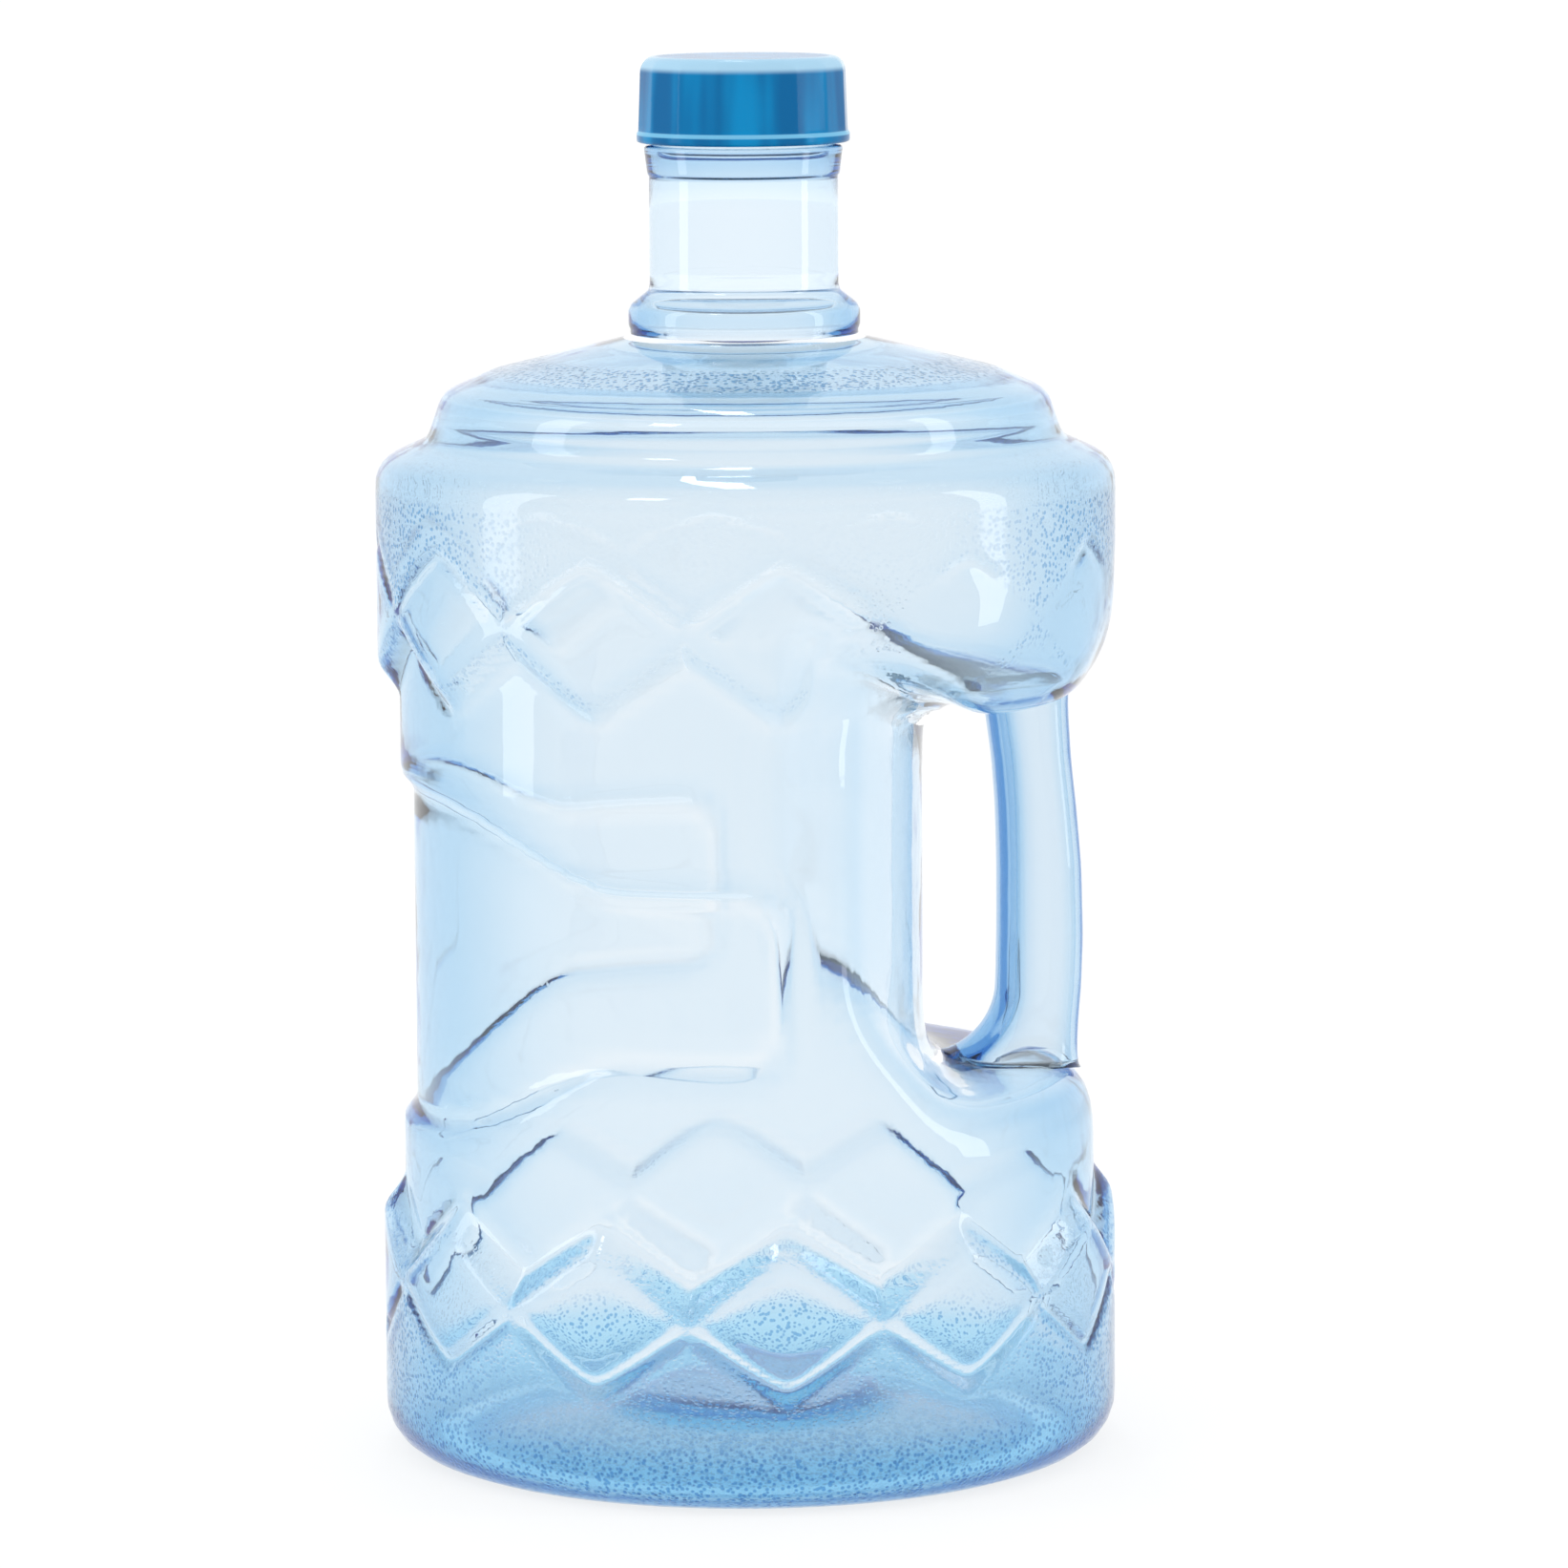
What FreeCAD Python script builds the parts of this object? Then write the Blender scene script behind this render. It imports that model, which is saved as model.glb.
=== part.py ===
"""Large water jug: a blow-moulded clear bottle with a separate grip bar, and a threaded cap with its liner.

Frame: +Z up, origin on the jug's axis at the plane that it stands on. The handle is on the +X side, and the
mould parts in the XZ plane, so the jug's side features are drawn along Y and mirror across that plane.
Millimetres and degrees.
"""
import FreeCAD, Part
import math
import os

V = FreeCAD.Vector

# ---- driving dimensions ----------------------------------------------------------------------------------
BAND_R = 108.0          # outside radius of the two raised bands
WAIST_R = 101.7         # outside radius of the waist between them
PANEL_R = 97.9          # outside radius of the grip panel at the back
WALL = 1.6              # moulded wall of the body
SPREAD = 125.0          # a radius or half-length outside everything, for cutting tools
OVERRUN = 8.0           # how far a cutting tool runs past what it shapes
LEAST_FILLET = 0.4      # of an inside corner

BASE_LIFT = 14.0        # how far the centre of the base is pushed up
FOOT_IN_R, FOOT_CORNER = 84.0, 18.0     # inner radius of the standing ring, and the outer corner's radius

NECK_R, BORE_R = 27.5, 24.5             # neck below the cap, and the mouth's bore
FINISH_R = 26.4                         # root of the neck's thread
COLLAR_R = 29.3                         # collar under the cap
NECK_RING_R = 33.8                      # bulge where the neck meets the shoulder
RIM_Z = 404.8                           # the mouth's rim
BORE_LOW_Z = 327.6                      # where the bore opens into the cavity

DIAMONDS = 12                           # round each band
DIAMOND_HALF_H = 18.0
UPPER_DIAMOND_Z, LOWER_DIAMOND_Z = 252.0, 53.7      # mid-heights of the two rows
DIAMOND_SLOPE = 5.0                     # how far a diamond's edge spreads as it drops to the waist

PANEL_EDGE_X, PANEL_KNEE_X = 3.5, -55.0             # where the panel starts, and where it starts to widen
PANEL_TOP_Z, PANEL_LOW_Z = 180.0, 123.5             # its edges at the sides
PANEL_BACK_TOP_Z, PANEL_BACK_LOW_Z = 202.0, 98.0    # and at the very back

POCKET_FLOOR_X, POCKET_FLOOR_R = 50.5, 169.0        # hand pocket: nearest wall, and its curve in plan
SHELF_Z, CEILING_Z = 112.0, 222.0
POCKET_SIDE_X = 17.6                                # where the pocket runs out on the waist
POCKET_SIDE_LOW_Z, POCKET_SIDE_TOP_Z = 149.0, 245.0
CEILING_KNEE_X, CEILING_SIDE_X = 57.0, 28.0         # between them the ceiling slants up to the sides

GRIP_HALF_T = 13.5                      # grip bar: half its thickness along Y
GRIP_FOOT_X = 82.8                      # centre of its feet
GRIP_FOOT_A, GRIP_FOOT_B = 12.4, 12.5   # half-widths of a foot along X and Y
GRIP_FOOT_DEPTH, GRIP_FOOT_FLARE = 9.0, 1.6

THREAD_STARTS, THREAD_LEAD = 2, 8.0
THREAD_LOW_Z, THREAD_TURNS = 388.2, 1.25
NECK_THREAD_R, NECK_THREAD_ROOT, NECK_THREAD_CREST = 28.2, 2.2, 1.0     # crest radius, root and crest widths
CAP_THREAD_R, CAP_THREAD_ROOT, CAP_THREAD_CREST = 27.0, 2.0, 0.9
THREAD_BITE = 0.25                      # how far a thread's root sinks into its wall, so that they fuse

CAP_LOW_Z, CAP_TOP_Z = 383.6, 408.5
CAP_BORE_R, CAP_TOP_T = 28.7, 2.1
CAP_FLANGE_R, CAP_FLANGE_H = 31.0, 3.4
CAP_CORNER_LOW_R, CAP_CORNER_TOP_R = 30.7, 29.9     # facet corners at the flange and at the top
CAP_FACETS, CAP_FIRST_CORNER = 16, 2.0              # facets, and the plan angle of the first corner
CAP_ROUND = 4.5
CAP_SEAM = 0.8                          # how far the facets sink into the flange
LINER_R, LINER_T = 27.9, 1.5
LINER_GAP = 0.05                        # running clearance over the rim


# ---- helpers ----------------------------------------------------------------------------------------------
def rounded_wire(points):
    """Edges in the XZ plane through (r, z, fillet radius) corners, each one rounded by a tangent arc."""
    edges, start = [], V(points[0][0], 0, points[0][1])
    for before, (r, z, radius), after in zip(points, points[1:], points[2:]):
        corner = V(r, 0, z)
        back = (V(before[0], 0, before[1]) - corner).normalize()
        ahead = (V(after[0], 0, after[1]) - corner).normalize()
        if radius > 0:
            half = back.getAngle(ahead) / 2
            reach = radius / math.tan(half)
            middle = (back + ahead).normalize() * (radius / math.sin(half) - radius)
            first, last = corner + back * reach, corner + ahead * reach
            edges.append(Part.LineSegment(start, first).toShape())
            edges.append(Part.Arc(first, corner + middle, last).toShape())
            start = last
        else:
            edges.append(Part.LineSegment(start, corner).toShape())
            start = corner
    edges.append(Part.LineSegment(start, V(points[-1][0], 0, points[-1][1])).toShape())
    return edges


def turned(points):
    """The solid of revolution about Z under a profile that starts and ends on the axis."""
    edges = rounded_wire(points)
    first, last = V(points[0][0], 0, points[0][1]), V(points[-1][0], 0, points[-1][1])
    edges.append(Part.LineSegment(last, first).toShape())
    face = Part.Face(Part.Wire(edges))
    return face.revolve(V(0, 0, 0), V(0, 0, 1), 360)


def inset(points, by):
    """The corners of a profile moved inward by a wall's thickness, with their fillets changed to suit."""
    lines = []
    for (r0, z0, _), (r1, z1, _) in zip(points, points[1:]):
        along = V(r1 - r0, 0, z1 - z0).normalize()
        lines.append((V(r0, 0, z0) + V(-along.z, 0, along.x) * by, along))
    moved = [(0.0, lines[0][0].z, 0.0)]
    for (p, a), (q, b), (_, _, radius) in zip(lines, lines[1:], points[1:]):
        turn = a.x * b.z - a.z * b.x
        t = ((q.x - p.x) * b.z - (q.z - p.z) * b.x) / turn
        corner = p + a * t
        moved.append((corner.x, corner.z, max(radius - by, LEAST_FILLET) if turn > 0 else radius + by))
    return moved


def ring(inner_r, low_z, high_z):
    """An annular cutting tool that is open to the outside."""
    tool = Part.makeCylinder(SPREAD, high_z - low_z, V(0, 0, low_z))
    return tool.cut(Part.makeCylinder(inner_r, high_z - low_z, V(0, 0, low_z)))


def side_prism(corners):
    """A prism through the whole jug along Y, from an outline of (x, z) corners."""
    wire = Part.makePolygon([V(x, -SPREAD, z) for x, z in corners + corners[:1]])
    return Part.Face(wire).extrude(V(0, 2 * SPREAD, 0))


def elliptic(x, z, a, b):
    """A level ellipse, centred on the XZ plane, with half-widths a along X and b along Y."""
    curve = Part.Ellipse(V(x, 0, z), max(a, b), min(a, b)).toShape()
    if b > a:
        curve.rotate(V(x, 0, z), V(0, 0, 1), 90)
    return Part.Wire(curve)


# ---- the jug's body ---------------------------------------------------------------------------------------
def body_profile():
    """Outer profile from the middle of the base up to the top of the shoulder, before the waist is cut."""
    return [
        (0.0, BASE_LIFT, 0.0),
        (36.0, BASE_LIFT, 3.0),
        (42.0, 9.0, 4.0),
        (FOOT_IN_R, 0.0, 3.0),
        (BAND_R, 0.0, FOOT_CORNER),
        (BAND_R, 291.0, 10.0),
        (92.8, 298.0, 4.0),
        (88.3, 311.0, 7.0),
        (75.0, 317.0, 12.0),
        (31.0, 328.0, 1.0),
    ]


def neck_profile():
    """Outer profile of the neck, from the ring at its root to the rim."""
    return [
        (NECK_RING_R, 329.6, 2.0),
        (NECK_RING_R, 336.4, 3.0),
        (NECK_R, 341.5, 3.0),
        (NECK_R, 373.6, 0.0),
        (NECK_R + 0.9, 374.4, 0.6),
        (NECK_R + 0.9, 376.6, 0.6),
        (COLLAR_R, 382.6, 0.8),
        (FINISH_R, 382.9, 0.0),
        (FINISH_R, RIM_Z, 0.6),
        (0.0, RIM_Z, 0.0),
    ]


def diamond_half(mid_z, up, angle, waist_r, grow):
    """The waist-side half of one raised diamond: a tapered wedge that points away from its band."""
    half_w = BAND_R * math.sin(math.pi / DIAMONDS)

    def triangle(x, spread):
        tall = DIAMOND_HALF_H + spread
        wide = half_w * tall / DIAMOND_HALF_H
        left, right, tip = V(x, -wide, mid_z), V(x, wide, mid_z), V(x, 0, mid_z + up * tall)
        return Part.makePolygon([left, right, tip, left])

    def spread_at(x):
        return DIAMOND_SLOPE * (BAND_R - x) / (BAND_R - WAIST_R) + grow

    ends = [waist_r - OVERRUN, BAND_R + OVERRUN]
    wedge = Part.makeLoft([triangle(x, spread_at(x)) for x in ends], True, True)
    wedge.rotate(V(0, 0, 0), V(0, 0, 1), angle)
    return wedge


def waist_tool(inward):
    """What is taken off between the two bands, along the zigzag edges of their diamonds."""
    waist_r = WAIST_R - inward
    tool = ring(waist_r, LOWER_DIAMOND_Z, UPPER_DIAMOND_Z)
    pitch = 360.0 / DIAMONDS
    wedges = []
    for i in range(DIAMONDS):
        wedges.append(diamond_half(LOWER_DIAMOND_Z, 1, i * pitch, waist_r, -inward))
        wedges.append(diamond_half(UPPER_DIAMOND_Z, -1, i * pitch, waist_r, -inward))
    return tool.cut(wedges)


def panel_tool(inward):
    """The shallow grip panel that wraps the back of the waist."""
    slope_reach = SPREAD - abs(PANEL_KNEE_X)
    back_run = WAIST_R - abs(PANEL_KNEE_X)
    top_rise = (PANEL_BACK_TOP_Z - PANEL_TOP_Z) / back_run * slope_reach
    low_drop = (PANEL_LOW_Z - PANEL_BACK_LOW_Z) / back_run * slope_reach
    outline = [
        (PANEL_EDGE_X + inward, PANEL_LOW_Z - inward),
        (PANEL_EDGE_X + inward, PANEL_TOP_Z + inward),
        (PANEL_KNEE_X, PANEL_TOP_Z + inward),
        (-SPREAD, PANEL_TOP_Z + inward + top_rise),
        (-SPREAD, PANEL_LOW_Z - inward - low_drop),
        (PANEL_KNEE_X, PANEL_LOW_Z - inward),
    ]
    return side_prism(outline).common(ring(PANEL_R - inward, LOWER_DIAMOND_Z, UPPER_DIAMOND_Z))


def pocket_tool(inward):
    """The hand pocket: everything outside a gently curved upright wall, between the shelf and the ceiling."""
    centre_x = POCKET_FLOOR_X - POCKET_FLOOR_R
    slope = (POCKET_SIDE_LOW_Z - SHELF_Z) / (POCKET_FLOOR_X - POCKET_SIDE_X)
    start_x = POCKET_SIDE_X - OVERRUN
    outline = [
        (start_x, POCKET_SIDE_LOW_Z + slope * OVERRUN - inward * math.hypot(1.0, slope)),
        (start_x, POCKET_SIDE_TOP_Z + inward),
        (CEILING_SIDE_X, POCKET_SIDE_TOP_Z + inward),
        (CEILING_KNEE_X, CEILING_Z + inward),
        (SPREAD, CEILING_Z + inward),
        (SPREAD, SHELF_Z - inward),
        (POCKET_FLOOR_X, SHELF_Z - inward),
    ]
    tall = POCKET_SIDE_TOP_Z - SHELF_Z + 2 * OVERRUN
    core = Part.makeCylinder(POCKET_FLOOR_R - inward, tall, V(centre_x, 0, SHELF_Z - OVERRUN))
    return side_prism(outline).cut(core)


def grip_foot(top, grow):
    """One of the grip's feet, wider at its end, so that the moulded wall locks round it."""
    z, out = (CEILING_Z, 1) if top else (SHELF_Z, -1)
    a, b = GRIP_FOOT_A + grow, GRIP_FOOT_B + grow
    near = elliptic(GRIP_FOOT_X, z, a, b)
    far_z = z + out * (GRIP_FOOT_DEPTH + grow)
    far = elliptic(GRIP_FOOT_X, far_z, a + GRIP_FOOT_FLARE, b + GRIP_FOOT_FLARE)
    return Part.makeLoft([near, far] if top else [far, near], True, True)


def helical_thread(tip_r, wall_r, root_w, crest_w, low_z, turns, start_deg):
    """One start of a thread: a trapezoid swept along a helix, with its root sunk a little into the wall."""
    outward = 1 if tip_r > wall_r else -1
    root_r = wall_r - outward * THREAD_BITE
    helix = Part.makeHelix(THREAD_LEAD, THREAD_LEAD * turns, wall_r)
    corners = [(root_r, -root_w / 2), (tip_r, -crest_w / 2), (tip_r, crest_w / 2), (root_r, root_w / 2)]
    section = Part.makePolygon([V(r, 0, z) for r, z in corners + corners[:1]])
    thread = Part.Wire(helix).makePipeShell([section], True, True)
    thread.rotate(V(0, 0, 0), V(0, 0, 1), start_deg)
    thread.translate(V(0, 0, low_z))
    return thread


def jug_body():
    """The moulded bottle: its outside less its cavity, then the neck's thread."""
    outside = turned(body_profile() + neck_profile())
    outside = outside.cut([waist_tool(0.0), panel_tool(0.0), pocket_tool(0.0)])
    outside = outside.cut([grip_foot(True, 0.0), grip_foot(False, 0.0)])
    cavity_line = inset(body_profile() + neck_profile()[:1], WALL)
    cavity_line += [(BORE_R, BORE_LOW_Z, 6.0), (BORE_R, RIM_Z + OVERRUN, 0.0), (0.0, RIM_Z + OVERRUN, 0.0)]
    cavity = turned(cavity_line)
    cavity = cavity.cut([waist_tool(WALL), panel_tool(WALL), pocket_tool(WALL)])
    cavity = cavity.cut([grip_foot(True, WALL), grip_foot(False, WALL)])
    body = outside.cut(cavity)
    for i in range(THREAD_STARTS):
        start = i * 360.0 / THREAD_STARTS
        body = body.fuse(helical_thread(NECK_THREAD_R, FINISH_R, NECK_THREAD_ROOT, NECK_THREAD_CREST,
                                        THREAD_LOW_Z, THREAD_TURNS, start))
    return body


# ---- the grip ---------------------------------------------------------------------------------------------
def handle_grip():
    """The grip bar: oval sections lofted along a slight outward bow, with a locking foot at each end."""
    low, high = SHELF_Z, CEILING_Z
    sections = [            # (height, inner x, outer x, half thickness)
        (low, 58.5, 97.2, 16.5),
        (low + 4.0, 64.0, 96.6, 14.8),
        (low + 10.0, 69.2, 96.6, GRIP_HALF_T),
        (low + 22.0, 72.2, 97.6, GRIP_HALF_T),
        (low + 48.0, 73.6, 99.3, GRIP_HALF_T),
        (high - 36.0, 73.0, 98.6, GRIP_HALF_T),
        (high - 12.0, 70.6, 96.6, GRIP_HALF_T),
        (high, 68.6, 96.4, GRIP_HALF_T + 0.8),
    ]
    wires = [elliptic((x0 + x1) / 2, z, (x1 - x0) / 2, b) for z, x0, x1, b in sections]
    bar = Part.makeLoft(wires, True, False)
    return bar.fuse([grip_foot(True, 0.0), grip_foot(False, 0.0)]).removeSplitter()


# ---- the closure ------------------------------------------------------------------------------------------
def screw_cap():
    """The faceted cap: a tapered polygon rounded at the top, on a round flange, with the thread inside."""
    facet_low_z = CAP_LOW_Z + CAP_FLANGE_H - CAP_SEAM

    def polygon(z, corner_r):
        turns = [math.radians(CAP_FIRST_CORNER + i * 360.0 / CAP_FACETS) for i in range(CAP_FACETS)]
        corners = [V(corner_r * math.cos(turn), corner_r * math.sin(turn), z) for turn in turns]
        return Part.makePolygon(corners + corners[:1])

    low_polygon, top_polygon = polygon(facet_low_z, CAP_CORNER_LOW_R), polygon(CAP_TOP_Z, CAP_CORNER_TOP_R)
    facets = Part.makeLoft([low_polygon, top_polygon], True, True)
    facets = facets.common(turned([
        (0.0, facet_low_z, 0.0),
        (CAP_CORNER_LOW_R + 0.1, facet_low_z, 0.0),
        (CAP_CORNER_TOP_R - 0.1, CAP_TOP_Z, CAP_ROUND),
        (0.0, CAP_TOP_Z, 0.0),
    ]))
    flange = turned([
        (0.0, CAP_LOW_Z, 0.0),
        (CAP_FLANGE_R, CAP_LOW_Z, 0.8),
        (CAP_FLANGE_R, CAP_LOW_Z + CAP_FLANGE_H, 1.2),
        (0.0, CAP_LOW_Z + CAP_FLANGE_H, 0.0),
    ])
    hollow_top = CAP_TOP_Z - CAP_TOP_T
    cap = facets.fuse(flange).cut(Part.makeCylinder(CAP_BORE_R, hollow_top - CAP_LOW_Z, V(0, 0, CAP_LOW_Z)))
    half_pitch = THREAD_LEAD / THREAD_STARTS / 2
    for i in range(THREAD_STARTS):
        start = i * 360.0 / THREAD_STARTS
        cap = cap.fuse(helical_thread(CAP_THREAD_R, CAP_BORE_R, CAP_THREAD_ROOT, CAP_THREAD_CREST,
                                      THREAD_LOW_Z - half_pitch, THREAD_TURNS, start))
    return cap


def cap_liner():
    """The loose sealing disc between the cap and the rim."""
    low = RIM_Z + LINER_GAP
    high = low + LINER_T
    return turned([(0.0, low, 0.0), (LINER_R, low, 0.4), (LINER_R, high, 0.4), (0.0, high, 0.0)])


PARTS = {
    "jug_body": jug_body,
    "handle_grip": handle_grip,
    "screw_cap": screw_cap,
    "cap_liner": cap_liner,
}

os.makedirs("parts", exist_ok=True)
for name, make in PARTS.items():
    shape = make()
    solids = shape.Solids
    if len(solids) != 1:
        raise RuntimeError(f"{name} came out as {len(solids)} solids")
    solid = solids[0]
    if solid.Volume < 0:
        solid.reverse()
    print(f"{name}: {solid.Volume / 1000:.1f} cm3, valid {solid.isValid()}, box {solid.BoundBox}")
    solid.exportStep(os.path.join("parts", name + ".step"))
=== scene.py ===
"""Looks for the large water jug: clear moulded body and grip bar, and blue screw cap, in a pale studio.

Lengths in the shape code are millimetres in the jug's frame (+Z up, axis at the origin, grip bar on +X),
and become metres when a mesh is made. alpha is the plan angle from the grip bar.
"""
import math

import bpy
import numpy as np
from mathutils import Matrix, Vector


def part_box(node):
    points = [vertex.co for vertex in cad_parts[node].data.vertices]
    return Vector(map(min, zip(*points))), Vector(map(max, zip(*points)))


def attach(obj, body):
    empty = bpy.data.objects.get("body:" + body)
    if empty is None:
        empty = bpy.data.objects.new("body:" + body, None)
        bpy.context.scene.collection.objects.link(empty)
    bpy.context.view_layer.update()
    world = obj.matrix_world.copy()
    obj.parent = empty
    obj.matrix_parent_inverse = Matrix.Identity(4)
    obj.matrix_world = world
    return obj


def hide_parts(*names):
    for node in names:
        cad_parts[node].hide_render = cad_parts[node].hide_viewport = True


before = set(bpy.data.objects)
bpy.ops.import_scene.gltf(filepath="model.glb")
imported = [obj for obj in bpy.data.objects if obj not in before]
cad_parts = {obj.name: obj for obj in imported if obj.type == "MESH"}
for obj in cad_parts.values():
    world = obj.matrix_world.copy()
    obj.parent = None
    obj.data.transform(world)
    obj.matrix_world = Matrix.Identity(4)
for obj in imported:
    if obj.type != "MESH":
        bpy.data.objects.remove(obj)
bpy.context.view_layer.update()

MM = 0.001
JUG_HIGH = np.array(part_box("jug_body")[1]) / MM
CAP_LOW, CAP_HIGH = (np.array(corner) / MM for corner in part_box("screw_cap"))

# ---- sizes --------------------------------------------------------------------------------------------
BAND_R = JUG_HIGH[0]
RIM_Z = JUG_HIGH[2]
WAIST_R, PANEL_R = 101.7, 97.9
WALL = 1.1                                      # of the visible shell; the CAD's is thicker
BAND_LOW_Z, BAND_HIGH_Z = 20.0, 281.0           # the side, between the base's corner and the shoulder's
DIAMONDS = 12
LOWER_MID_Z, UPPER_MID_Z = 53.7, 252.0          # mid-heights of the two rows of diamonds
PANEL_EDGE_X, PANEL_KNEE_X = 3.5, -55.0
PANEL_TOP_Z, PANEL_LOW_Z, PANEL_BACK_TOP_Z, PANEL_BACK_LOW_Z = 180.0, 123.5, 202.0, 98.0
POCKET_FLOOR_X, POCKET_FLOOR_R = 50.5, 169.0
SHELF_Z, CEILING_Z = 112.0, 222.0
POCKET_SIDE_X, POCKET_SIDE_LOW_Z, POCKET_SIDE_TOP_Z = 17.6, 149.0, 245.0
CEILING_KNEE_X, CEILING_SIDE_X = 57.0, 28.0
BORE_R, FINISH_R, THREAD_R = 24.5, 26.4, 28.2    # of the mouth, the thread's root and the thread's crest
RIM_ROUND = 0.5
THREAD_STARTS, THREAD_LEAD, THREAD_LOW_Z, THREAD_TURNS = 2, 8.0, 388.2, 1.25
THREAD_FADE = 0.05                              # turns over which a thread's ends fade out
NECK_TOOTH, CAP_TOOTH = (0.5, 1.1), (0.45, 1.0)  # half-widths of a thread at its crest and its root
CAP_BORE_R, CAP_THREAD_R, CAP_TOP_T = 28.7, 27.0, 2.1
CAP_FACETS, CAP_FIRST_CORNER = 16, math.radians(2.0)

# ---- mesh density ---------------------------------------------------------------------------------------
COLUMNS, HALF, QUARTER = 576, 288, 144          # points round a ring on relief, plain sides and round parts
FINE, MEDIUM = 1.7, 2.9                         # row spacing on relief and on plain stretches
DENSE = 0.5                                     # spacing of the paths that rows are picked from
ARC_POINTS = 9                                  # on each rounded corner of an outline
POCKET_FROM_Z, POCKET_TO_Z = 84.0, 262.0        # the stretch of side whose rows follow the pocket
POCKET_KNEE_Z = 222.0                           # height above which those rows are as close as on relief
LEAST_GAP = 0.6                                 # share of a step left free before the next stretch of rows
POCKET_POINTS = 60                              # along the pocket's shelf, and along its ceiling
RELIEF = ((27.0, 84.0), (222.5, 277.0))         # heights between which rows carry diamonds
BASE_STEP, SHOULDER_STEP, NECK_STEP, THREAD_STEP = 4.2, 2.1, 0.6, 0.66
BASE_INSIDE_STEP, SHOULDER_INSIDE_STEP = 4.0, 3.8
CAP_COLUMNS = CAP_FACETS * 12
CAP_STEP, CAP_THREAD_STEP = 0.8, 0.62

# ---- softening of the side, as (spread in points, axis of its grid of points) ----------------------------
MASK_ACROSS, MASK_ALONG = (6.0, 0), (2.6, 1)    # spread of the softened area round the pocket
SOFT_ACROSS, SOFT_ALONG = (6.5, 0), (1.7, 1)    # how much is softened there
SOFTER_ACROSS, SOFTER_ALONG = (8.0, 0), (2.7, 1)
CEILING_SOFT_Z, CEILING_SOFT_RISE = 218.0, 12.0  # height from which it is softened again, and by which fully
INSIDE_ACROSS, INSIDE_ALONG = 1.8, 0.8          # softening of the wall's inside, round the jug and up it
END_ROWS = 4                                    # rows at each end of the side that stay as they are


# ---- curves and shapes ----------------------------------------------------------------------------------
def smooth_step(x):
    """From 0 to 1 as x goes from 0 to 1, easing at both ends."""
    x = np.clip(x, 0.0, 1.0)
    return x * x * (3.0 - 2.0 * x)


def smooth_min(a, b, blend):
    """The lesser of two distances, with the corner between them rounded over the blend's width."""
    h = np.maximum(blend - np.abs(a - b), 0.0) / blend
    return np.minimum(a, b) - h * h * blend / 4.0


def lengths(path):
    """Distance along a path at each of its points."""
    return np.concatenate([[0.0], np.cumsum(np.hypot(*np.diff(path, axis=0).T))])


def along(path, s):
    """Points of a path at the distances s."""
    at = lengths(path)
    return np.stack([np.interp(s, at, path[:, 0]), np.interp(s, at, path[:, 1])], axis=1)


def even(path, step):
    """A path as evenly spaced points, about a step apart."""
    total = lengths(path)[-1]
    return along(path, np.linspace(0.0, total, max(int(round(total / step)), 2) + 1))


def rounded(corners):
    """A dense path through (r, z, fillet radius) corners, each one rounded by a tangent arc."""
    points = [np.array(corners[0][:2])]
    for before, (r, z, radius), after in zip(corners, corners[1:], corners[2:]):
        corner = np.array([r, z])
        back = np.array(before[:2]) - corner
        ahead = np.array(after[:2]) - corner
        back /= np.linalg.norm(back)
        ahead /= np.linalg.norm(ahead)
        half = math.acos(np.clip(back @ ahead, -1.0, 1.0)) / 2.0
        if radius <= 0.0:
            points.append(corner)
            continue
        centre = corner + (back + ahead) / np.linalg.norm(back + ahead) * radius / math.sin(half)
        first = corner + back * radius / math.tan(half) - centre
        last = corner + ahead * radius / math.tan(half) - centre
        sweep = math.pi - 2.0 * half
        for t in np.linspace(0.0, 1.0, ARC_POINTS):
            spoke = (first * math.sin((1 - t) * sweep) + last * math.sin(t * sweep)) / math.sin(sweep)
            points.append(centre + spoke)
    points.append(np.array(corners[-1][:2]))
    return np.array(points)


def softened(path, sigma):
    """An evenly spaced path smoothed along its length, with its ends held."""
    reach = int(3.0 * sigma / DENSE)
    kernel = np.exp(-0.5 * (np.arange(-reach, reach + 1) * DENSE / sigma) ** 2)
    kernel /= kernel.sum()
    before = 2 * path[0] - path[reach:0:-1]
    after = 2 * path[-1] - path[-2:-reach - 2:-1]
    longer = np.concatenate([before, path, after])
    return np.stack([np.convolve(longer[:, i], kernel, mode="valid") for i in (0, 1)], axis=1)


# ---- the jug's side -------------------------------------------------------------------------------------
DIAMOND_W, DIAMOND_H = 29.5, 19.5               # half-width and half-height before its corners are rounded
TIP_ROUND, SIDE_ROUND, CORNER_BLEND = 3.0, 2.5, 6.0
STEP_W = 10.0                                   # width of the rounded step from a band down to the waist
UPPER_GROOVE = (1.1, 1.7)                       # depth and half-width of lines on the diamonds' far edges
LOWER_GROOVE = (1.5, 1.8)
PANEL_STEP_W, PANEL_BLEND = 6.0, 14.0           # width of the panel's edge, and rounding of its corners
PANEL_KNEE_ROUND = 12.0
POCKET_BLEND, POCKET_SOFT = 8.0, 6.0            # rounding where the pocket runs out, and of its edges
SOFT_REACH, SOFT_RAMP = 14.0, 10.0              # how far past the pocket that rounding goes, and its run-in
SOFT_DEPTH = 5.0                                # pocket depth at which it is full
LEAST_DEPTH, LEAST_POINTS = 0.02, 8             # less than this of the pocket is left out
LEAST_MOVE = 0.4                                # least move that puts a point in the pocket's area
SHELF_FLARE, SHELF_FLARE_X = 0.25, 4.0          # curve by which the shelf runs out upwards at its sides


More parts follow.
